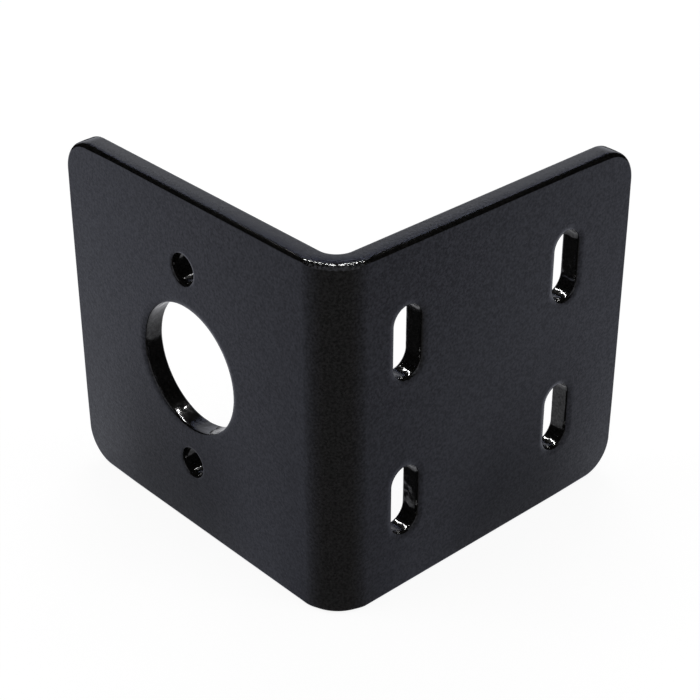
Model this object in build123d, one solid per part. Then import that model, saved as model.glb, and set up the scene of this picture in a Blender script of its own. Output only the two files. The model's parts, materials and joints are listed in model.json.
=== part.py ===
from build123d import *
import os

# Motor mounting bracket: one steel plate, blanked and punched flat, then bent once to a right
# angle. The motor leg has a pilot bore for the motor's front boss and a screw hole above and
# below it. The base leg has four slots that run along the bend, so the motor can be shifted
# before its base screws are tightened.
#
# Frame, in millimetres: the origin is on the motor's shaft axis, in the face that the motor
# seats on. +X follows the shaft into the angle, -Y points to the base leg's outer face, and Z
# runs along the bend, with Z = 0 halfway up the bracket.

# Plate
plate_thickness = 3.0
bracket_height = 50.0  # along the bend
motor_leg_length = 52.0  # over the outside of the bend
base_leg_length = 52.0  # over the outside of the bend
inner_bend_radius = 2.5
corner_radius = 5.0  # free corners of both legs

# Motor leg
shaft_height = 28.0  # shaft axis above the base leg's outer face
pilot_bore_diameter = 18.0
screw_hole_diameter = 4.2
screw_hole_spacing = 29.0

# Base leg
slot_width = 4.5
slot_length = 10.0  # end to end, along the bend
near_slot_distance = 12.0  # from the motor leg's outer face to the nearer pair of slots
slot_column_spacing = 28.0
slot_row_spacing = 23.0

# Edges: the punch rounds the outer skin's edges over, and only a fine break is left on the inner
outline_round = 0.6
hole_rim_round = 0.25
inner_edge_break = 0.15

# Worked out from the sizes above
outer_bend_radius = inner_bend_radius + plate_thickness
motor_skin_x = -plate_thickness
base_skin_y = -shaft_height
slot_pattern_x = motor_skin_x + near_slot_distance + slot_column_spacing / 2


def bent_plate():
    """The plain angle: the plate's bent section, extruded along the bend."""
    motor_leg_end = (motor_skin_x, base_skin_y + motor_leg_length)
    bend_corner = (motor_skin_x, base_skin_y)
    base_leg_end = (motor_skin_x + base_leg_length, base_skin_y)
    with BuildPart() as plate:
        with BuildSketch():
            with BuildLine():
                FilletPolyline(motor_leg_end, bend_corner, base_leg_end, radius=outer_bend_radius)
                offset(amount=plate_thickness, side=Side.LEFT)
            make_face()
        extrude(amount=bracket_height / 2, both=True)
        motor_corners = plate.edges().filter_by(Axis.X).group_by(Axis.Y)[-1]
        base_corners = plate.edges().filter_by(Axis.Y).group_by(Axis.X)[-1]
        fillet(motor_corners + base_corners, corner_radius)
    return plate.part


def motor_leg_punches():
    """The slugs punched out of the motor leg: the pilot bore and the two screw holes."""
    with BuildPart() as slugs:
        with BuildSketch(Plane.YZ):
            Circle(pilot_bore_diameter / 2)
            with GridLocations(0, screw_hole_spacing, 1, 2):
                Circle(screw_hole_diameter / 2)
        extrude(amount=-plate_thickness)
    return slugs.part


def base_leg_punches():
    """The slugs punched out of the base leg: two columns of two slots."""
    slot_plane = Plane(origin=(slot_pattern_x, base_skin_y, 0), x_dir=(1, 0, 0), z_dir=(0, -1, 0))
    with BuildPart() as slugs:
        with BuildSketch(slot_plane):
            with GridLocations(slot_column_spacing, slot_row_spacing, 2, 2):
                SlotOverall(slot_length, slot_width, rotation=90)
        extrude(amount=-plate_thickness)
    return slugs.part


def skin_faces(plate, motor_x, base_y, bend_radius):
    """The two flats and the bend between them that make one side of the bent plate."""
    faces = plate.faces()
    flats = [
        face
        for face in faces.filter_by(GeomType.PLANE)
        if face.is_coplanar(Plane.YZ.offset(motor_x)) or face.is_coplanar(Plane.XZ.offset(-base_y))
    ]
    bends = [
        face
        for face in faces.filter_by(GeomType.CYLINDER).filter_by(Axis.Z)
        if abs(face.radius - bend_radius) < 1e-4
    ]
    return flats + bends


def outline_edges(skin):
    """The edges all round a side of the plate, without the bend's tangent lines and the holes."""
    edges = [edge for face in skin for edge in face.outer_wire().edges()]
    return [edge for edge in edges if edges.count(edge) == 1]


def rim_edges(skin):
    """The edges of the holes in a side of the plate."""
    return [edge for face in skin for wire in face.inner_wires() for edge in wire.edges()]


def motor_bracket():
    """The finished bracket: bent plate, punched holes, and the edges of both its skins."""
    plate = bent_plate() - motor_leg_punches() - base_leg_punches()
    outer_skin = skin_faces(plate, motor_skin_x, base_skin_y, outer_bend_radius)
    plate = fillet(outline_edges(outer_skin), outline_round)
    outer_skin = skin_faces(plate, motor_skin_x, base_skin_y, outer_bend_radius)
    plate = fillet(rim_edges(outer_skin), hole_rim_round)
    inner_skin = skin_faces(plate, 0, base_skin_y + plate_thickness, inner_bend_radius)
    return chamfer(outline_edges(inner_skin) + rim_edges(inner_skin), inner_edge_break)


os.makedirs("parts", exist_ok=True)
export_step(motor_bracket(), "parts/bracket.step")
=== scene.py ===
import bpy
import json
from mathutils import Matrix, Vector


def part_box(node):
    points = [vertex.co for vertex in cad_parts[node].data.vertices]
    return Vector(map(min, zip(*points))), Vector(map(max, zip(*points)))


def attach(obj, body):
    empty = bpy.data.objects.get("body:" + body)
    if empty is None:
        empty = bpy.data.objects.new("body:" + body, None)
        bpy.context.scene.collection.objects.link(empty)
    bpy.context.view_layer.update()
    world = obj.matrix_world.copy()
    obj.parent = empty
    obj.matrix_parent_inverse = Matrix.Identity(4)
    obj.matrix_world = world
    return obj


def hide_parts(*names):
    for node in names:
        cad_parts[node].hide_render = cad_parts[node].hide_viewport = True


bl_info = {
    "name": "Motor Mounting Bracket",
    "version": (1, 0, 0),
    "blender": (4, 5, 0),
    "location": "View3D > Sidebar > Bracket",
    "description": "Builds a black coated motor mounting bracket and the table it stands on",
    "category": "Add Mesh",
}

import json
import math

import bpy
import numpy as np
from bpy.props import FloatProperty, FloatVectorProperty, PointerProperty
from mathutils import Matrix, Vector, noise
from mathutils.geometry import delaunay_2d_cdt

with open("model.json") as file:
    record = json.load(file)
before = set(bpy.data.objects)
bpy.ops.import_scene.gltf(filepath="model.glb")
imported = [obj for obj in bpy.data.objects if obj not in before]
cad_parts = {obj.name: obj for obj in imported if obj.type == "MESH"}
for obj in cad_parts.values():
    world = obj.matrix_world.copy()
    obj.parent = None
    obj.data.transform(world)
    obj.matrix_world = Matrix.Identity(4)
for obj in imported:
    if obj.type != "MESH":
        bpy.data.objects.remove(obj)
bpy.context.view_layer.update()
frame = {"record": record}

MM = 0.001
RECORD = frame["record"]
MOUNTS = {mount["name"]: mount for mount in RECORD["mounts"]}
NODE = "bracket"
LOWEST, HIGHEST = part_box(NODE)

# The plate, as the frame gives it. The seat for the motor is the plane x = 0, so the plate is as
# thick as the box reaches behind it.
PLATE = -LOWEST.x
MOTOR_LEG = HIGHEST.y - LOWEST.y
BASE_LEG = HIGHEST.x - LOWEST.x


# ---------------------------------------------------------------------------
# What a user can change
# ---------------------------------------------------------------------------


class BracketSizes(bpy.types.PropertyGroup):
    """Radii of the bend, the corners and the edges, and the dishes and walls of the holes"""

    bend_radius: FloatProperty(
        name="Bend radius", description="Outside radius of the bend", default=5.5 * MM, unit="LENGTH"
    )
    corner_radius: FloatProperty(
        name="Corner radius", description="Free corners of both legs", default=5 * MM, unit="LENGTH"
    )
    outline_roll: FloatProperty(
        name="Outline roll",
        description="How far the rolled edge of the outline reaches over the outer skin",
        default=0.46 * MM,
        unit="LENGTH",
    )
    outline_roll_depth: FloatProperty(
        name="Outline roll depth",
        description="How far the rolled edge of the outline reaches into the plate",
        default=0.55 * MM,
        unit="LENGTH",
    )
    crown_width: FloatProperty(
        name="Crown width",
        description="How far past the rolled edge the outline's wall is still rounded",
        default=1.3 * MM,
        unit="LENGTH",
    )
    crown_drop: FloatProperty(
        name="Crown drop",
        description="How far that rounding stands back",
        default=0.06 * MM,
        unit="LENGTH",
    )
    corner_growth: FloatProperty(
        name="Corner growth",
        description="How much wider the rolled edge gets round the free corners",
        default=0.35,
        subtype="FACTOR",
    )
    bend_growth: FloatProperty(
        name="Bend growth",
        description="How much wider the rolled edge gets round the bend, where the metal is stretched",
        default=0.5,
        subtype="FACTOR",
    )
    end_roll: FloatProperty(
        name="End roll",
        description="Share of the rolled edge that is left on the free ends of both legs",
        default=0.6,
        subtype="FACTOR",
    )
    dish_width: FloatProperty(
        name="Dish width",
        description="How far round the bore and the slots the punch has drawn the skin in",
        default=0.9 * MM,
        unit="LENGTH",
    )
    dish_depth: FloatProperty(
        name="Dish depth",
        description="How deep the skin is drawn in there",
        default=0.16 * MM,
        unit="LENGTH",
    )
    screw_dish: FloatProperty(
        name="Screw dish",
        description="How wide and deep the dish of a screw hole is beside that of the bore",
        default=0.4,
        subtype="FACTOR",
    )
    rim_roll: FloatProperty(
        name="Rim roll",
        description="How far the rounded rim between dish and wall reaches over the skin",
        default=0.13 * MM,
        unit="LENGTH",
    )
    rim_roll_depth: FloatProperty(
        name="Rim roll depth",
        description="How far the rounded rim reaches into the plate",
        default=0.65 * MM,
        unit="LENGTH",
    )
    shear_depth: FloatProperty(
        name="Shear depth",
        description="Where a punched wall turns from sheared to torn",
        default=0.95 * MM,
        unit="LENGTH",
    )
    inner_roll: FloatProperty(
        name="Inner roll",
        description="Round of the outline on the inner skin",
        default=0.28 * MM,
        unit="LENGTH",
    )
    inner_round: FloatProperty(
        name="Inner round",
        description="Round of the holes on the inner skin",
        default=0.28 * MM,
        unit="LENGTH",
    )
    wall_flare: FloatProperty(
        name="Wall flare",
        description="How much wider a punched hole is at the inner skin",
        default=0.03 * MM,
        unit="LENGTH",
    )
    tear_relief: FloatProperty(
        name="Tear relief",
        description="Unevenness of the torn part of a punched wall",
        default=0.026 * MM,
        unit="LENGTH",
    )


class CoatLook(bpy.types.PropertyGroup):
    """Colour, gloss and texture of the black powder coat"""

    colour: FloatVectorProperty(
        name="Coat colour",
        description="Pigment of the coat",
        subtype="COLOR",
        size=3,
        default=(0.0048, 0.0046, 0.0044),
    )
    sheen_tint: FloatVectorProperty(
        name="Gloss tint",
        description="Tint of what the coat reflects",
        subtype="COLOR",
        size=3,
        default=(0.92, 0.92, 0.92),
    )
    gloss_index: FloatProperty(
        name="Gloss index", description="Refractive index of the coat", default=1.4
    )
    roughness: FloatProperty(
        name="Roughness",
        description="Roughness of the coat on the legs",
        default=0.11,
        subtype="FACTOR",
    )
    peel_size: FloatProperty(
        name="Peel size",
        description="Width of one dimple of the orange peel",
        default=1.0 * MM,
        unit="LENGTH",
    )
    peel_depth: FloatProperty(
        name="Peel depth",
        description="Depth of the orange peel on the legs",
        default=0.006 * MM,
        unit="LENGTH",
    )
    ripple_size: FloatProperty(
        name="Ripple size",
        description="Length of a ripple along an edge",
        default=0.24 * MM,
        unit="LENGTH",
    )
    ripple_depth: FloatProperty(
        name="Ripple depth",
        description="Depth of the ripples where the coat runs over an edge",
        default=0.085 * MM,
        unit="LENGTH",
    )
    grain_size: FloatProperty(
        name="Grain size", description="Width of one grain of the coat", default=0.4 * MM, unit="LENGTH"
    )
    grain_depth: FloatProperty(
        name="Grain depth", description="Depth of the coat's grain", default=0.016 * MM, unit="LENGTH"
    )
    wall_grain: FloatProperty(
        name="Wall grain",
        description="Share of the grain that is left on punched walls",
        default=0.3,
        subtype="FACTOR",
    )


class StudioLook(bpy.types.PropertyGroup):
    """Lamps and camera"""

    azimuth: FloatProperty(
        name="Azimuth",
        description="Camera's turn about the bend",
        default=math.radians(-42.456),
        subtype="ANGLE",
    )
    elevation: FloatProperty(
        name="Elevation",
        description="Camera's height angle",
        default=math.radians(31.175),
        subtype="ANGLE",
    )
    distance: FloatProperty(
        name="Distance", description="Camera to the point it looks at", default=246 * MM, unit="LENGTH"
    )
    lens: FloatProperty(
        name="Lens", description="Focal length in millimetres", default=93.49, unit="CAMERA"
    )
    aim: FloatVectorProperty(
        name="Aim",
        description="Point that the camera looks at",
        subtype="TRANSLATION",
        size=3,
        default=(21.145 * MM, -4.407 * MM, -5.005 * MM),
    )
    bar_glare: FloatProperty(
        name="Bar glare", description="Brightness of the light bar in the gloss", default=290.0, min=0.0
    )
    soft_power: FloatProperty(
        name="Soft power",
        description="Wide lamps that light the bracket evenly",
        default=1.2,
        unit="POWER",
    )
    room_light: FloatProperty(
        name="Room light", description="Even light from all round", default=0.35, subtype="FACTOR"
    )


# ---------------------------------------------------------------------------
# The flat blank: outlines in (along, across), metres. "along" runs on the outer skin from the
# motor leg's free end, round the bend, to the base leg's free end, and "across" is Z.
# ---------------------------------------------------------------------------

# Spacing of the points along each kind of outline
EDGE_PITCH = 0.45 * MM
BEND_PITCH = 0.14 * MM
BORE_PITCH = 0.16 * MM
SCREW_PITCH = 0.13 * MM
SLOT_PITCH = 0.14 * MM


def blank_lengths(sizes):
    """Where the bend starts and ends along the blank, and where the blank ends."""
    bend_start = MOTOR_LEG - sizes.bend_radius
    bend_end = bend_start + sizes.bend_radius * math.pi / 2
    return bend_start, bend_end, bend_end + BASE_LEG - sizes.bend_radius


def off_bend(points, sizes):
    """How far points of the blank lie outside the bend, and below 0 how far inside it."""
    bend_start, bend_end, _ = blank_lengths(sizes)
    return np.maximum(bend_start - points[:, 0], points[:, 0] - bend_end)


def fold(along, across, depth, sizes):
    """Bends points of the blank into the bracket. depth is measured in from the outer skin."""
    bend_start, bend_end, _ = blank_lengths(sizes)
    radius = sizes.bend_radius
    angle = np.clip((along - bend_start) / radius, 0, math.pi / 2)
    reach = radius - depth
    x = LOWEST.x + radius - reach * np.cos(angle) + np.maximum(along - bend_end, 0)
    y = LOWEST.y + radius - reach * np.sin(angle) + np.maximum(bend_start - along, 0)
    return np.stack([x, y, across], axis=-1)


def arc(centre, radius, start, end, pitch):
    """Points on an arc with their outward normals, the end point left out."""
    count = max(6, round(abs(end - start) * radius / pitch))
    turn = np.linspace(start, end, count, endpoint=False)
    normals = np.stack([np.cos(turn), np.sin(turn)], axis=-1)
    return np.array(centre) + radius * normals, normals


def run(first, last, normal, pitch):
    """Points on a straight run with their outward normal, the end point left out."""
    first, last = np.array(first), np.array(last)
    count = max(2, round(np.linalg.norm(last - first) / pitch))
    share = np.linspace(0, 1, count, endpoint=False)[:, None]
    return first + (last - first) * share, np.tile(np.array(normal, float), (count, 1))


def join(pieces):
    """One closed loop of points and normals from a list of arcs and runs."""
    points, normals = zip(*pieces)
    return np.concatenate(points), np.concatenate(normals)


def outline_loop(sizes):
    """The blank's outline, anticlockwise, finer round the corners and along the bend."""
    bend_start, bend_end, end = blank_lengths(sizes)
    corner = sizes.corner_radius
    low, high = LOWEST.z, HIGHEST.z
    quarter = math.pi / 2
    corner_pitch = EDGE_PITCH / 2
    return join(
        [
            run((corner, low), (bend_start, low), (0, -1), EDGE_PITCH),
            run((bend_start, low), (bend_end, low), (0, -1), BEND_PITCH),
            run((bend_end, low), (end - corner, low), (0, -1), EDGE_PITCH),
            arc((end - corner, low + corner), corner, -quarter, 0, corner_pitch),
            run((end, low + corner), (end, high - corner), (1, 0), EDGE_PITCH),
            arc((end - corner, high - corner), corner, 0, quarter, corner_pitch),
            run((end - corner, high), (bend_end, high), (0, 1), EDGE_PITCH),
            run((bend_end, high), (bend_start, high), (0, 1), BEND_PITCH),
            run((bend_start, high), (corner, high), (0, 1), EDGE_PITCH),
            arc((corner, high - corner), corner, quarter, 2 * quarter, corner_pitch),
            run((0, high - corner), (0, low + corner), (-1, 0), EDGE_PITCH),
            arc((corner, low + corner), corner, 2 * quarter, 3 * quarter, corner_pitch),
        ]
    )


def round_hole(centre, radius, pitch):
    """A round hole's loop. Its normals point into the hole, away from the metal."""
    points, outward = arc(centre, radius, 0, -2 * math.pi, pitch)
    return points, -outward


def slot_hole(centre, half_width, length, pitch):
    """A slot's loop, long across the blank. Its normals point into the hole."""
    along, across = centre
    reach = length / 2 - half_width
    top, bottom = (along, across + reach), (along, across - reach)
    points, outward = join(
        [
            arc(top, half_width, math.pi, 0, pitch),
            run((along + half_width, top[1]), (along + half_width, bottom[1]), (1, 0), pitch),
            arc(bottom, half_width, 0, -math.pi, pitch),
            run((along - half_width, bottom[1]), (along - half_width, top[1]), (-1, 0), pitch),
        ]
    )
    return points, -outward


def hole_loops(sizes):
    """Every hole of the blank, from the mounts: pilot bore, two screw holes and four slots. Beside
    each loop stands its share of the dish."""
    _, bend_end, _ = blank_lengths(sizes)
    loops = []
    bore = MOUNTS["pilot_bore"]
    bore_along = HIGHEST.y - bore["pos_m"][1]
    bore_across = bore["pos_m"][2]
    loops.append((round_hole((bore_along, bore_across), bore["dims"]["r_mm"] * MM, BORE_PITCH), 1))
    screws = MOUNTS["motor_screw_holes"]
    screw_along = HIGHEST.y - screws["pos_m"][1]
    screw_reach = screws["dims"]["spacing_y_mm"] * MM / 2
    for side in (1, -1):
        centre = (screw_along, screws["pos_m"][2] + side * screw_reach)
        hole = round_hole(centre, screws["dims"]["hole_r_mm"] * MM, SCREW_PITCH)
        loops.append((hole, sizes.screw_dish))
    for name in ("near_slots", "far_slots"):
        slots = MOUNTS[name]
        slot_along = bend_end + slots["pos_m"][0] - (LOWEST.x + sizes.bend_radius)
        slot_reach = slots["dims"]["spacing_y_mm"] * MM / 2
        half_width = slots["dims"]["hole_r_mm"] * MM
        length = slots["dims"]["slot_length_mm"] * MM
        for side in (1, -1):
            centre = (slot_along, slots["pos_m"][2] + side * slot_reach)
            loops.append((slot_hole(centre, half_width, length, SLOT_PITCH), 1))
    return loops


# ---------------------------------------------------------------------------
# Edges and walls: rows from the outer skin, over the rolled edge, down the wall and round the
# edge of the inner skin
# ---------------------------------------------------------------------------

# Rows in the dish, over the roll, down the wall and round the inner edge
OUTLINE_ROWS = (0, 12, 12, 4)
HOLE_ROWS = (6, 10, 14, 4)
NO_DISH = (0, 0)
NO_CROWN = (0, 0)

# The line where a punched wall starts to tear: how far it wanders, how long its waves are, and
# how soon the wall is fully torn behind it
TEAR_WANDER = 0.2 * MM
TEAR_WAVE = 1.6 * MM
TEAR_ONSET = 0.5 * MM

# Bumps of the torn part, coarse and fine, and of the whole wall, as shares of the tear's relief
COARSE_BUMP = 0.9 * MM
FINE_BUMP = 0.4 * MM
FINE_SHARE = 0.35
CALM_BUMP = 1.3 * MM
CALM_SHARE = 0.4
SMOOTH_RIM = 0.4 * MM

# The rolled edge is at its widest up to CORNER_NEAR from a corner of the blank, as wide as along
# the legs from CORNER_FAR, and at its widest round the bend from BEND_BLEND inside the bend
CORNER_NEAR = 3 * MM
CORNER_FAR = 12 * MM
BEND_BLEND = 2 * MM

# How far past the bend the coat's ripples fade out
RIPPLE_FADE = 0.8 * MM

# How far a seed moves the noise along each axis, in bumps
SEED_STEP = (17.3, 5.1, 9.7)


def smoothstep(value):
    """0 below 0, 1 above 1, smooth between."""
    value = np.clip(value, 0, 1)
    return value * value * (3 - 2 * value)


def noise_field(points, size, seed):
    """Smooth noise at points in metres, about -1 to 1, one bump per size."""
    shift = Vector([step * seed for step in SEED_STEP])
    flat = points.reshape(-1, 3) / size
    values = [noise.noise(Vector(point) + shift) for point in flat]
    return np.array(values).reshape(points.shape[:-1])


def torn_wall(placed, depth, sizes, seed):
    """How far each point of a punched wall stands back from the true wall. Past the sheared
    part it is torn and flares a little, and the coat softens it."""
    sheared = sizes.shear_depth + TEAR_WANDER * noise_field(placed, TEAR_WAVE, seed)
    after = np.clip((depth - sheared) / (PLATE - sheared), 0, 1)
    torn = smoothstep((depth - sheared) / TEAR_ONSET)
    coarse = noise_field(placed, COARSE_BUMP, seed + 1)
    rough = coarse + FINE_SHARE * noise_field(placed, FINE_BUMP, seed + 2)
    calm = CALM_SHARE * noise_field(placed, CALM_BUMP, seed + 3)
    past_rim = smoothstep((depth - SMOOTH_RIM) / SMOOTH_RIM)
    return past_rim * (sizes.wall_flare * after**1.5 + sizes.tear_relief * (torn * rough + calm))


def corner_share(points, sizes):
    """1 at the free corners of the blank, falling to 0 along the straight edges."""
    _, _, end = blank_lengths(sizes)
    share = np.zeros(len(points))
    for along in (0, end):
        for across in (LOWEST.z, HIGHEST.z):
            distance = np.hypot(points[:, 0] - along, points[:, 1] - across)
            nearness = (CORNER_FAR - distance) / (CORNER_FAR - CORNER_NEAR)
            share = np.maximum(share, smoothstep(nearness))
    return share


class Edge:
    """The dish, rolled edge, wall and inner edge that run round one outline of the blank. dish,
    roll and crown each give a width and a depth, and inner is the inner edge's radius."""

    def __init__(self, loop, dish, roll, crown, inner, rows, sizes, relief_seed=None):
        self.points, self.normals = loop
        dish_steps, roll_steps, wall_steps, back_steps = rows
        count = len(self.points)
        width, drop = dish
        reach = np.broadcast_to(roll[0], (count,))[:, None]
        deep = np.broadcast_to(roll[1], (count,))[:, None]
        # the roll's angle where the dish runs on into it
        start = math.atan2(2 * drop * reach[0, 0], width * deep[0, 0]) if dish_steps else 0
        share = np.arange(dish_steps) / max(dish_steps, 1)
        turn = np.linspace(start, math.pi / 2, roll_steps + 1)
        down = np.arange(1, wall_steps) / wall_steps
        back = np.linspace(0, math.pi / 2, back_steps + 1)
        # added to what is the same all round, so that it gets a value for every point
        level = np.zeros((count, 1))
        wall_start = drop + deep * math.cos(start)
        self.inset = np.hstack(
            [
                reach * (1 - math.sin(start)) + width * (1 - share),
                reach * (1 - np.sin(turn)),
                level + 0 * down,
                level + inner * (1 - np.cos(back)),
            ]
        )
        self.depth = np.hstack(
            [
                level + drop * share**2,
                drop + deep * (math.cos(start) - np.cos(turn)),
                wall_start + (PLATE - inner - wall_start) * down,
                level + PLATE - inner * (1 - np.sin(back)),
            ]
        )
        crown_width, crown_drop = crown
        if crown_width:
            rise = (wall_start + crown_width - self.depth) / crown_width
            self.inset += crown_drop * np.where(rise < 1, np.maximum(rise, 0) ** 2, 2 * rise - 1)
        self.outward = np.concatenate([0 * share, np.sin(turn), np.ones(len(down)), np.cos(back)])
        self.rolled = np.concatenate([0 * share, np.sin(2 * turn), np.zeros(len(down) + len(back))])
        self.inner = inner
        self.relief_seed = relief_seed
        self.sizes = sizes

    def grid(self):
        """Every row's points in the bracket."""
        along = self.points[:, None, 0] - self.inset * self.normals[:, None, 0]
        across = self.points[:, None, 1] - self.inset * self.normals[:, None, 1]
        if self.relief_seed is not None:
            placed = np.stack([along, across, self.depth], axis=-1)
            relief = torn_wall(placed, self.depth, self.sizes, self.relief_seed) * self.outward
            along = along - relief * self.normals[:, None, 0]
            across = across - relief * self.normals[:, None, 1]
        return fold(along, across, self.depth, self.sizes)

    def front_loop(self):
        """Where the outer skin ends."""
        return self.points - self.inset[:, :1] * self.normals, self.normals

    def back_loop(self):
        """Where the inner skin ends."""
        return self.points - self.inner * self.normals, self.normals


# ---------------------------------------------------------------------------
# The mesh
# ---------------------------------------------------------------------------

# Width of the level ring beside every edge strip
RING_WIDTH = 0.12 * MM

# What counts as no length at all, on the blank in metres and in the triangulation in millimetres
ROUNDING = 1e-9
FILL_ROUNDING = 1e-6

# The triangulation's setting that leaves out triangles beyond the outline
INSIDE_ONLY = 1


class MeshDraft:
    """Vertices and faces gathered from grids and skins, then made into one mesh."""

    def __init__(self):
        self.points = []
        self.faces = []
        self.cut = []
        self.rolled = []

    def add_points(self, points, cut, rolled):
        """Adds points and returns the number of the first. cut marks punched walls and rolled
        marks the rounds in front of them, 0 to 1."""
        first = len(self.points)
        self.points.extend(map(tuple, points))
        self.cut.extend(np.broadcast_to(cut, (len(points),)).tolist())
        self.rolled.extend(np.broadcast_to(rolled, (len(points),)).tolist())
        return first

    def add_edge(self, edge, punched, bend_share):
        """A closed loop of rows. punched is 1 for a hole and 0 for the outline, and bend_share is
        1 where the loop crosses the bend. Returns the vertex numbers of the first and last rows."""
        grid = edge.grid()
        around, deep = grid.shape[:2]
        # a row is wall where it faces straight out, give or take a tenth
        cut = np.tile(punched * smoothstep(edge.outward * 10 - 9), around)
        rolled = (bend_share[:, None] * edge.rolled).ravel()
        first = self.add_points(grid.reshape(-1, 3), cut, rolled)
        for i in range(around):
            here, there = first + i * deep, first + (i + 1) % around * deep
            for j in range(deep - 1):
                self.faces.append((here + j, here + j + 1, there + j + 1, there + j))
        rows = first + np.arange(around) * deep
        return rows, rows + deep - 1


def inside(point, loop):
    """True if a point of the blank lies inside a loop."""
    x, y = point
    a, b = loop, np.roll(loop, -1, axis=0)
    crosses = (a[:, 1] > y) != (b[:, 1] > y)
    with np.errstate(divide="ignore", invalid="ignore"):
        meet = (b[:, 0] - a[:, 0]) * (y - a[:, 1]) / (b[:, 1] - a[:, 1]) + a[:, 0]
    return bool(np.count_nonzero(crosses & (x < meet)) % 2)


def skin(draft, loops, rows, depth, sizes, facing_out):
    """Fills one side of the plate between its edge strips: a narrow level ring beside every
    strip, then triangles, with a line across the plate at every step of the bend."""
    flat, numbers, edges = [], [], []
    for (points, normals), row in zip(loops, rows):
        start = len(flat)
        count = len(points)
        ring = points - RING_WIDTH * normals
        placed = fold(ring[:, 0], ring[:, 1], np.full(count, depth), sizes)
        first = draft.add_points(placed, 0.0, 0.0)
        for i in range(count):
            nxt = (i + 1) % count
            quad = (row[i], row[nxt], first + nxt, first + i)
            draft.faces.append(quad if facing_out else quad[::-1])
        flat.extend(map(tuple, ring))
        numbers.extend(range(first, first + count))
        edges.extend((start + i, start + (i + 1) % count) for i in range(count))
    outline_points, outline_normals = loops[0]
    outline = outline_points - RING_WIDTH * outline_normals
    in_bend = off_bend(outline, sizes) <= ROUNDING
    bottom = np.flatnonzero(in_bend & (outline_normals[:, 1] < 0))
    top = np.flatnonzero(in_bend & (outline_normals[:, 1] > 0))
    for lower in bottom:
        upper = top[np.abs(outline[top, 0] - outline[lower, 0]).argmin()]
        edges.append((int(lower), int(upper)))
    # filled in millimetres, where FILL_ROUNDING is far below the spacing of the points
    filled, _, triangles, origins, _, _ = delaunay_2d_cdt(
        [Vector(point) * (1 / MM) for point in flat], edges, [], INSIDE_ONLY, FILL_ROUNDING
    )
    if len(filled) != len(flat):
        raise RuntimeError("the plate's skin gained points where its outlines cross")
    index = {new: numbers[old[0]] for new, old in enumerate(origins)}
    holes = [(points - RING_WIDTH * normals) / MM for points, normals in loops[1:]]
    for triangle in triangles:
        centre = sum((filled[i] for i in triangle), Vector((0, 0))) / 3
        if any(inside(centre, hole) for hole in holes):
            continue
        face = tuple(index[i] for i in triangle)
        draft.faces.append(face if facing_out else face[::-1])


def outline_edge(sizes):
    """The outline's rolled edge: wider round the free corners and the bend, and narrower on the
    free ends of the legs."""
    points, normals = outline_loop(sizes)
    growth = sizes.corner_growth * corner_share(points, sizes)
    growth += sizes.bend_growth * smoothstep(-off_bend(points, sizes) / BEND_BLEND)
    at_end = (1 - sizes.end_roll) * np.abs(normals[:, 0])
    swell = (1 + growth) * (1 - at_end)
    roll = (sizes.outline_roll * swell, sizes.outline_roll_depth * swell)
    crown = (sizes.crown_width, sizes.crown_drop)
    return Edge((points, normals), NO_DISH, roll, crown, sizes.inner_roll, OUTLINE_ROWS, sizes)


def hole_edges(sizes):
    """The edges of every punched hole, each with its own unevenness."""
    rim = (sizes.rim_roll, sizes.rim_roll_depth)
    edges = []
    for seed, (loop, share) in enumerate(hole_loops(sizes), 1):
        dish = (sizes.dish_width * share, sizes.dish_depth * share)
        edges.append(Edge(loop, dish, rim, NO_CROWN, sizes.inner_round, HOLE_ROWS, sizes, seed))
    return edges


def bracket_mesh(sizes):
    """The whole bracket as one closed mesh."""
    draft = MeshDraft()
    edges = [outline_edge(sizes), *hole_edges(sizes)]
    front, back = [], []
    for number, edge in enumerate(edges):
        # the outline comes first, and the rest are holes
        punched = min(number, 1)
        bend_share = smoothstep(1 - off_bend(edge.points, sizes) / RIPPLE_FADE)
        first_row, last_row = draft.add_edge(edge, punched, bend_share)
        front.append(first_row)
        back.append(last_row)
    skin(draft, [edge.front_loop() for edge in edges], front, 0.0, sizes, True)
    skin(draft, [edge.back_loop() for edge in edges], back, PLATE, sizes, False)
    mesh = bpy.data.meshes.new("bracket_body")
    mesh.from_pydata(draft.points, [], draft.faces)
    mesh.update()
    mesh.shade_smooth()
    for name, values in (("cut_wall", draft.cut), ("rolled_edge", draft.rolled)):
        mark = mesh.attributes.new(name, "FLOAT", "POINT")
        mark.data.foreach_set("value", np.array(values, np.float32))
    return mesh


# ---------------------------------------------------------------------------
# Materials
# ---------------------------------------------------------------------------

# Bumps in a metre: clouds in the pigment, flecks in the gloss, patches in the roughness
CLOUDS = 3000.0
FLECKS = 3200.0
PATCHES = 260.0

# The least and the most of each, as shares of the mean
CLOUD_SWING = (0.6, 1.5)
FLECK_SWING = (0.55, 1.45)
PATCH_SWING = (0.85, 1.15)

# The noise values between which a mottled colour goes from dark to light
MOTTLE_RANGE = (0.36, 0.64)

# The table as seen, as the coat mirrors it, and under the lamps: its own glow and its paint
SEEN_GLOW = (0.90, 0.90, 0.90)
SEEN_PAINT = 0.18
MIRRORED_GLOW = (0.5, 0.505, 0.545)
MIRRORED_PAINT = 0.75
LIT_PAINT = 0.8

CARD_COLOUR = 0.004
NET_TINT = (0.76, 0.78, 0.86)


def grey(level):
    """A neutral colour with full cover."""
    return (level, level, level, 1)


def new_node(tree, kind, **settings):
    """Adds a node, setting its own options and, by socket name, its inputs."""
    node = tree.nodes.new(kind)
    for name, value in settings.items():
        if name in node.inputs:
            node.inputs[name].default_value = value
        else:
            setattr(node, name, value)
    return node


def blank_material(name):
    """A new material, its tree and the socket that takes its surface."""
    material = bpy.data.materials.new(name)
    material.use_nodes = True
    tree = material.node_tree
    tree.nodes.clear()
    output = new_node(tree, "ShaderNodeOutputMaterial")
    return material, tree, output.inputs["Surface"]


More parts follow.
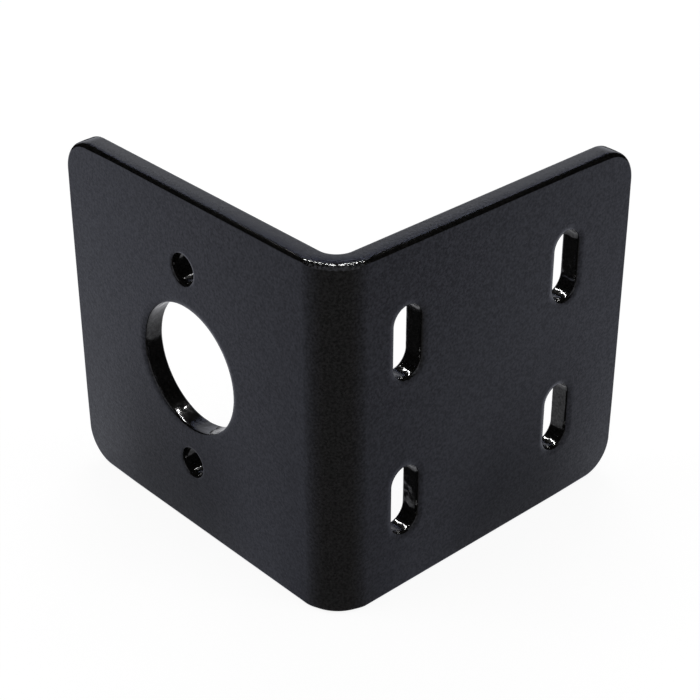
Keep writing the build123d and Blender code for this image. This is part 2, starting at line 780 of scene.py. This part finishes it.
def calculate(tree, operation, *values):
    """The result of a maths node. Each value is a socket or a number."""
    node = new_node(tree, "ShaderNodeMath", operation=operation)
    for value, socket in zip(values, node.inputs):
        if isinstance(value, bpy.types.NodeSocket):
            tree.links.new(value, socket)
        else:
            socket.default_value = value
    return node.outputs["Value"]


def map_range(tree, value, before, after, interpolation="LINEAR"):
    """A value moved from the range before to the range after."""
    node = new_node(tree, "ShaderNodeMapRange", interpolation_type=interpolation)
    limits = zip(("From Min", "From Max", "To Min", "To Max"), (*before, *after))
    for name, limit in limits:
        node.inputs[name].default_value = limit
    tree.links.new(value, node.inputs["Value"])
    return node.outputs["Result"]


def bumps(tree, place, count, detail):
    """Noise with count bumps in a metre."""
    node = new_node(tree, "ShaderNodeTexNoise", Scale=count, Detail=detail)
    tree.links.new(place, node.inputs["Vector"])
    return node.outputs["Fac"]


def mottled(tree, value, colour, swing):
    """A colour that goes from the first to the second share of itself with a noise's value."""
    ramp = new_node(tree, "ShaderNodeValToRGB")
    for stop, position, share in zip(ramp.color_ramp.elements, MOTTLE_RANGE, swing):
        stop.position = position
        stop.color = (*[channel * share for channel in colour], 1)
    tree.links.new(value, ramp.inputs["Fac"])
    return ramp.outputs["Color"]


def coat_material(look):
    """Black powder coat: orange peel and a fine grain, smoother on the punched walls."""
    material, tree, surface = blank_material("black powder coat")
    link = tree.links.new
    shader = new_node(tree, "ShaderNodeBsdfPrincipled")
    shader.inputs["IOR"].default_value = look.gloss_index
    link(shader.outputs["BSDF"], surface)
    place = new_node(tree, "ShaderNodeTexCoord").outputs["Object"]

    # pigment: hardly visible fine clouds in the black
    clouds = bumps(tree, place, CLOUDS, detail=1.0)
    link(mottled(tree, clouds, look.colour, CLOUD_SWING), shader.inputs["Base Color"])

    # gloss: slightly uneven in strength and in roughness
    flecks = bumps(tree, place, FLECKS, detail=2.0)
    link(mottled(tree, flecks, look.sheen_tint, FLECK_SWING), shader.inputs["Specular Tint"])
    patches = bumps(tree, place, PATCHES, detail=4.0)
    uneven = [look.roughness * share for share in PATCH_SWING]
    link(map_range(tree, patches, (0, 1), uneven), shader.inputs["Roughness"])

    # texture: dimples of orange peel, ripples where the coat runs over an edge, and a fine grain
    # that the thicker coat on the punched walls fills
    normal = None
    for size, depth, detail, mark, limits in (
        (look.peel_size, look.peel_depth, 1.0, None, None),
        (look.ripple_size, look.ripple_depth, 0.0, "rolled_edge", (0, 1)),
        (look.grain_size, look.grain_depth, 2.0, "cut_wall", (1, look.wall_grain)),
    ):
        height = bumps(tree, place, 1 / size, detail)
        if mark:
            where = new_node(tree, "ShaderNodeAttribute", attribute_name=mark)
            share = map_range(tree, where.outputs["Fac"], (0, 1), limits)
            height = calculate(tree, "MULTIPLY", share, height)
        bump = new_node(tree, "ShaderNodeBump", Distance=depth)
        link(height, bump.inputs["Height"])
        if normal:
            link(normal, bump.inputs["Normal"])
        normal = bump.outputs["Normal"]
    link(normal, shader.inputs["Normal"])
    return material


def table_material():
    """White table: it shows as white, and still takes the bracket's soft shadow."""
    material, tree, surface = blank_material("white table")
    link = tree.links.new
    seen = new_node(tree, "ShaderNodeLightPath")
    finish = new_node(tree, "ShaderNodeBsdfDiffuse", Color=grey(LIT_PAINT)).outputs["BSDF"]
    for ray, glow, paint in (
        ("Is Camera Ray", SEEN_GLOW, SEEN_PAINT),
        ("Is Glossy Ray", MIRRORED_GLOW, MIRRORED_PAINT),
        ("Is Transmission Ray", SEEN_GLOW, SEEN_PAINT),
    ):
        thin_paint = new_node(tree, "ShaderNodeBsdfDiffuse", Color=grey(paint))
        light = new_node(tree, "ShaderNodeEmission", Color=(*glow, 1), Strength=1.0)
        white = new_node(tree, "ShaderNodeAddShader")
        link(thin_paint.outputs["BSDF"], white.inputs[0])
        link(light.outputs["Emission"], white.inputs[1])
        mix = new_node(tree, "ShaderNodeMixShader")
        link(seen.outputs[ray], mix.inputs["Fac"])
        link(finish, mix.inputs[1])
        link(white.outputs["Shader"], mix.inputs[2])
        finish = mix.outputs["Shader"]
    link(finish, surface)
    return material


def card_material():
    """Matt black card for the tent."""
    material = bpy.data.materials.new("black card")
    material.use_nodes = True
    shader = material.node_tree.nodes["Principled BSDF"]
    shader.inputs["Base Color"].default_value = grey(CARD_COLOUR)
    shader.inputs["Roughness"].default_value = 1.0
    shader.inputs["Specular IOR Level"].default_value = 0.0
    return material


def net_material():
    """Thin cool net that dims what is seen through it."""
    material, tree, surface = blank_material("window net")
    net = new_node(tree, "ShaderNodeBsdfTransparent", Color=(*NET_TINT, 1))
    tree.links.new(net.outputs["BSDF"], surface)
    return material


# ---------------------------------------------------------------------------
# Studio. Azimuths and rises are in degrees, and azimuths turn from +X towards +Y.
# ---------------------------------------------------------------------------

# Where the middle of the tent's window lies, and the way from which the painted shade's tones run round
BEHIND = 47.5
FRONT = 227.0

TABLE_REACH = 4.0

# The tent is a dome of small panels. Its window reaches WINDOW_TURN to both sides of BEHIND and
# WINDOW_RISE up, and its net front starts FRONT_TURN from there.
TENT_RADIUS = 1.5
TENT_STEP = 2
WINDOW_TURN = 40
WINDOW_RISE = 42
FRONT_TURN = 120

# Rises from which the window's net is 2 and 4 layers deep, and the radii of the layers after the
# first, as shares of the tent's
TWO_LAYERS = 30
FOUR_LAYERS = 36
SECOND_LAYER = 0.98
LAYER_GAP = 0.01

# The tent's skirt over the table: how far from the bracket it starts, where it ends as a share
# of the tent's radius, and how far above the table it starts
SKIRT_START = 0.19
SKIRT_END = 1.01
SKIRT_LIFT = 2 * MM

# The film of painted shade on the table, seen only in the coat's gloss: how far it reaches out from
# the bend's corner, how far it reaches in under the legs, and how far it lies above the table
PAINTED_SHADE_REACH = 0.3
PAINTED_SHADE_UNDER = 2.5 * MM
PAINTED_SHADE_LIFT = 0.3 * MM

# The painted shade's tones from before the bend, at 0, darkest as in the bracket's shadow, to
# behind it, at 1, painted light, round a point in the angle
PAINTED_SHADE_CENTRE = 4 * MM
PAINTED_SHADE_TONES = (
    (0.08, (0.26, 0.255, 0.25)),
    (0.34, (0.39, 0.40, 0.46)),
    (0.5, (0.45, 0.465, 0.55)),
    (0.7, (0.62, 0.64, 0.74)),
    (0.85, (0.91, 0.93, 1.0)),
)

# The painted shadow of the legs' feet on the film. It fades in towards the leg and fades out at
# both ends of the leg, and it leans towards the leg's free end with the distance from the leg.
# Lengths across count below 0 from the legs' outer skins, and lengths along from the bend.
FOOT_SHADOW_DARKNESS = 0.4
FOOT_SHADOW_ACROSS = (-33 * MM, -3 * MM)
FOOT_SHADOW_LEAN = 1.35
FOOT_SHADOW_AT_BEND = (11 * MM, 28 * MM)
FOOT_SHADOW_AT_END = (51 * MM, 36 * MM)


def direction(azimuth, rise):
    """The unit vector to an azimuth and a rise."""
    turn, tilt = math.radians(azimuth), math.radians(rise)
    return Vector((math.cos(tilt) * math.cos(turn), math.cos(tilt) * math.sin(turn), math.sin(tilt)))


def stage_mesh(name, points, faces, material):
    """A piece of the studio, which isn't part of the bracket."""
    mesh = bpy.data.meshes.new(name)
    mesh.from_pydata(points, [], faces)
    mesh.materials.append(material)
    piece = bpy.data.objects.new(name, mesh)
    bpy.context.scene.collection.objects.link(piece)
    return piece


def only_gloss_sees(piece):
    """Lets the coat mirror a piece, and keeps the piece out of the picture and the lamps' way."""
    piece.visible_camera = False
    piece.visible_diffuse = False
    piece.visible_shadow = False
    piece.visible_transmission = False


def make_table():
    """A wide white table under the bracket."""
    sides = ((-1, -1), (1, -1), (1, 1), (-1, 1))
    corners = [(x * TABLE_REACH, y * TABLE_REACH, LOWEST.z) for x, y in sides]
    stage_mesh("table", corners, [(0, 1, 2, 3)], table_material())


def window_turn(azimuth):
    """How far an azimuth lies from the middle of the window, in degrees."""
    return abs((azimuth - BEHIND + 180) % 360 - 180)


def net_layers(turn, rise):
    """Layers of net in a panel of the tent that lies turn from the middle of the window. A panel
    with none is black card."""
    if turn > FRONT_TURN:
        return 1
    if turn >= WINDOW_TURN or rise >= WINDOW_RISE:
        return 0
    if rise >= FOUR_LAYERS:
        return 4
    return 2 if rise >= TWO_LAYERS else 1


def make_tent():
    """A black tent round the table, with a window behind the bracket, hung with net that is
    thicker towards its top, and a net front. Its skirt covers the table except close to the
    bracket and before it."""
    middle = (LOWEST + HIGHEST) / 2
    level = Vector((middle.x, middle.y, LOWEST.z + SKIRT_LIFT))
    turns = ((0, 0), (TENT_STEP, 0), (TENT_STEP, TENT_STEP), (0, TENT_STEP))
    card, net = 0, 1
    points, faces, finishes = [], [], []

    def panel(corners, finish):
        first = len(points)
        points.extend(corners)
        faces.append(tuple(range(first, first + len(corners))))
        finishes.append(finish)

    for azimuth in range(0, 360, TENT_STEP):
        from_window = window_turn(azimuth + TENT_STEP / 2)
        for rise in range(0, 90, TENT_STEP):
            corners = [direction(azimuth + turn, rise + lift) * TENT_RADIUS for turn, lift in turns]
            layers = net_layers(from_window, rise)
            panel(corners, net if layers else card)
            for extra in range(layers - 1):
                share = SECOND_LAYER - LAYER_GAP * extra
                panel([corner * share for corner in corners], net)
        if from_window <= FRONT_TURN:
            sides = (direction(azimuth, 0), direction(azimuth + TENT_STEP, 0))
            near = [level + side * SKIRT_START for side in sides]
            far = [side * TENT_RADIUS * SKIRT_END for side in sides]
            panel([near[0], near[1], far[1], far[0]], card)
    piece = stage_mesh("black_tent", points, faces, card_material())
    piece.data.materials.append(net_material())
    piece.data.polygons.foreach_set("material_index", finishes)
    only_gloss_sees(piece)


def painted_shade_material():
    """Film of painted shade that only the coat's gloss sees: the bracket's painted shadow, dark before
    the bend and close to the legs' feet, and painted light, lighter and cooler towards their free
    ends. The bend's corner is its origin."""
    material, tree, surface = blank_material("grey film")
    link = tree.links.new
    place = new_node(tree, "ShaderNodeTexCoord").outputs["Object"]

    # how far round from the front: 0 before the bend, 1 behind it
    flat = new_node(tree, "ShaderNodeVectorMath", operation="MULTIPLY_ADD")
    flat.inputs[1].default_value = (1, 1, 0)
    flat.inputs[2].default_value = (-PAINTED_SHADE_CENTRE, -PAINTED_SHADE_CENTRE, 0)
    link(place, flat.inputs[0])
    outward = new_node(tree, "ShaderNodeVectorMath", operation="NORMALIZE")
    link(flat.outputs["Vector"], outward.inputs[0])
    before = new_node(tree, "ShaderNodeVectorMath", operation="DOT_PRODUCT")
    before.inputs[1].default_value = direction(FRONT, 0)
    link(outward.outputs["Vector"], before.inputs[0])
    # painted shade and light in what the coat mirrors, by how far round from the front a point lies
    shade_tone = new_node(tree, "ShaderNodeValToRGB")
    link(map_range(tree, before.outputs["Value"], (1, -1), (0, 1)), shade_tone.inputs["Fac"])
    stops = shade_tone.color_ramp.elements
    for number, (position, colour) in enumerate(PAINTED_SHADE_TONES):
        stop = stops[number] if number < len(stops) else stops.new(position)
        stop.position = position
        stop.color = (*colour, 1)

    # the painted shadow at the feet of the legs, from the distances out from the nearer leg and along
    # it
    parts = new_node(tree, "ShaderNodeSeparateXYZ")
    link(place, parts.inputs["Vector"])
    sides = (parts.outputs["X"], parts.outputs["Y"])
    out = calculate(tree, "MINIMUM", *sides)
    reach = calculate(tree, "MAXIMUM", *sides)
    along = calculate(tree, "MULTIPLY_ADD", out, FOOT_SHADOW_LEAN, reach)
    foot_shadow = map_range(tree, out, FOOT_SHADOW_ACROSS, (0, FOOT_SHADOW_DARKNESS), "SMOOTHSTEP")
    for ends in (FOOT_SHADOW_AT_END, FOOT_SHADOW_AT_BEND):
        foot_shadow = calculate(tree, "MULTIPLY", foot_shadow, map_range(tree, along, ends, (0, 1), "SMOOTHSTEP"))

    # the painted shadow of the feet darkens the painted tones
    shaded = new_node(tree, "ShaderNodeMix", data_type="RGBA")
    link(foot_shadow, shaded.inputs["Factor"])
    link(shade_tone.outputs["Color"], shaded.inputs["A"])
    shaded.inputs["B"].default_value = grey(0)
    # the film dims and tints the table as the coat mirrors it: painted shade
    film = new_node(tree, "ShaderNodeBsdfTransparent")
    link(shaded.outputs["Result"], film.inputs["Color"])
    link(film.outputs["BSDF"], surface)
    return material


def make_painted_shade():
    """A sheet of painted shade on the table, all round the outside of the bracket."""
    outline = (
        (-PAINTED_SHADE_REACH, -PAINTED_SHADE_REACH),
        (PAINTED_SHADE_REACH, -PAINTED_SHADE_REACH),
        (PAINTED_SHADE_REACH, PAINTED_SHADE_UNDER),
        (PAINTED_SHADE_UNDER, PAINTED_SHADE_UNDER),
        (PAINTED_SHADE_UNDER, PAINTED_SHADE_REACH),
        (-PAINTED_SHADE_REACH, PAINTED_SHADE_REACH),
    )
    points = [(x, y, 0) for x, y in outline]
    piece = stage_mesh("grey_film", points, [(0, 1, 2, 3), (0, 3, 4, 5)], painted_shade_material())
    piece.location = (LOWEST.x, LOWEST.y, LOWEST.z + PAINTED_SHADE_LIFT)
    only_gloss_sees(piece)


def make_lamp(name, towards, along, distance, length, width, power):
    """A rectangular lamp that faces the bracket. along is the way its long side runs."""
    lamp = bpy.data.lights.new(name, "AREA")
    lamp.shape = "RECTANGLE"
    lamp.size = length
    lamp.size_y = width
    lamp.energy = power
    piece = bpy.data.objects.new(name, lamp)
    back = Vector(towards).normalized()
    side = (Vector(along) - back * back.dot(Vector(along))).normalized()
    up = back.cross(side)
    piece.matrix_world = Matrix((side, up, back)).transposed().to_4x4()
    piece.location = (LOWEST + HIGHEST) / 2 + back * distance
    piece.visible_camera = False
    bpy.context.scene.collection.objects.link(piece)
    return piece


def make_lamps(look):
    """A long bright bar over the back of the bracket, for the gloss, and wide soft lamps."""
    towards = (0.219, 0.351, 0.911)
    along = (0.681, -0.728, 0.074)
    distance, length, width = 0.6, 0.48, 0.013
    power = look.bar_glare * math.pi * length * width
    bar = make_lamp("light_bar", towards, along, distance, length, width, power)
    bar.visible_diffuse = False
    upright = (0, 0, 1)
    rise, distance, side = 45, 0.9, 0.5
    for name, azimuth in (("soft_left", 150), ("soft_right", 285), ("soft_back", 45)):
        towards = direction(azimuth, rise)
        soft = make_lamp(name, towards, upright, distance, side, side, look.soft_power)
        soft.visible_glossy = False


def make_world(look):
    """White surroundings, and a plain even light."""
    world = bpy.data.worlds.new("studio")
    bpy.context.scene.world = world
    world.use_nodes = True
    tree = world.node_tree
    tree.nodes.clear()
    link = tree.links.new
    output = new_node(tree, "ShaderNodeOutputWorld")
    seen = new_node(tree, "ShaderNodeLightPath").outputs
    shown = calculate(tree, "MAXIMUM", seen["Is Camera Ray"], seen["Is Glossy Ray"])
    shown = calculate(tree, "MAXIMUM", shown, seen["Is Transmission Ray"])
    even = new_node(tree, "ShaderNodeBackground", Color=grey(look.room_light), Strength=1.0)
    white = new_node(tree, "ShaderNodeBackground", Color=grey(1), Strength=1.0)
    mix = new_node(tree, "ShaderNodeMixShader")
    link(shown, mix.inputs["Fac"])
    link(even.outputs["Background"], mix.inputs[1])
    link(white.outputs["Background"], mix.inputs[2])
    link(mix.outputs["Shader"], output.inputs["Surface"])


def make_camera(look):
    """A long lens that looks down on the bend."""
    camera = bpy.data.cameras.new("camera")
    camera.lens = look.lens
    camera.clip_start = 10 * MM
    camera.clip_end = 20.0
    piece = bpy.data.objects.new("camera", camera)
    level = math.cos(look.elevation)
    x = math.sin(look.azimuth) * level
    y = -math.cos(look.azimuth) * level
    back = Vector((x, y, math.sin(look.elevation)))
    piece.location = Vector(look.aim) + back * look.distance
    piece.rotation_euler = back.to_track_quat("Z", "Y").to_euler()
    bpy.context.scene.collection.objects.link(piece)
    bpy.context.scene.camera = piece


# ---------------------------------------------------------------------------
# Operators and panel
# ---------------------------------------------------------------------------


class OBJECT_OT_make_bracket(bpy.types.Operator):
    """Build the bent plate with its punched holes and black coat"""

    bl_idname = "object.make_bracket"
    bl_label = "Make Bracket"

    def execute(self, context):
        mesh = bracket_mesh(context.scene.bracket_sizes)
        mesh.materials.append(coat_material(context.scene.coat_look))
        piece = bpy.data.objects.new("bracket_coated", mesh)
        context.scene.collection.objects.link(piece)
        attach(piece, "root")
        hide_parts(NODE)
        return {"FINISHED"}


class SCENE_OT_make_studio(bpy.types.Operator):
    """Build the table, the tent over it, the painted shade film on it, the lamps and the camera"""

    bl_idname = "scene.make_studio"
    bl_label = "Make Studio"

    def execute(self, context):
        look = context.scene.studio_look
        make_world(look)
        make_table()
        make_tent()
        make_painted_shade()
        make_lamps(look)
        make_camera(look)
        context.scene.view_settings.view_transform = "Standard"
        return {"FINISHED"}


class VIEW3D_PT_bracket(bpy.types.Panel):
    """Sidebar panel with the bracket's sizes, its coat and the studio"""

    bl_label = "Motor Bracket"
    bl_idname = "VIEW3D_PT_bracket"
    bl_space_type = "VIEW_3D"
    bl_region_type = "UI"
    bl_category = "Bracket"

    def draw(self, context):
        layout = self.layout
        scene = context.scene
        for group in (scene.bracket_sizes, scene.coat_look, scene.studio_look):
            box = layout.box()
            for name in group.__annotations__:
                box.prop(group, name)
        layout.operator(OBJECT_OT_make_bracket.bl_idname)
        layout.operator(SCENE_OT_make_studio.bl_idname)


CLASSES = (
    BracketSizes,
    CoatLook,
    StudioLook,
    OBJECT_OT_make_bracket,
    SCENE_OT_make_studio,
    VIEW3D_PT_bracket,
)


def register():
    for cls in CLASSES:
        bpy.utils.register_class(cls)
    bpy.types.Scene.bracket_sizes = PointerProperty(type=BracketSizes)
    bpy.types.Scene.coat_look = PointerProperty(type=CoatLook)
    bpy.types.Scene.studio_look = PointerProperty(type=StudioLook)


def unregister():
    del bpy.types.Scene.bracket_sizes
    del bpy.types.Scene.coat_look
    del bpy.types.Scene.studio_look
    for cls in reversed(CLASSES):
        bpy.utils.unregister_class(cls)


def main():
    """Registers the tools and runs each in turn."""
    register()
    bpy.ops.object.make_bracket()
    bpy.ops.scene.make_studio()


if __name__ == "__main__":
    main()
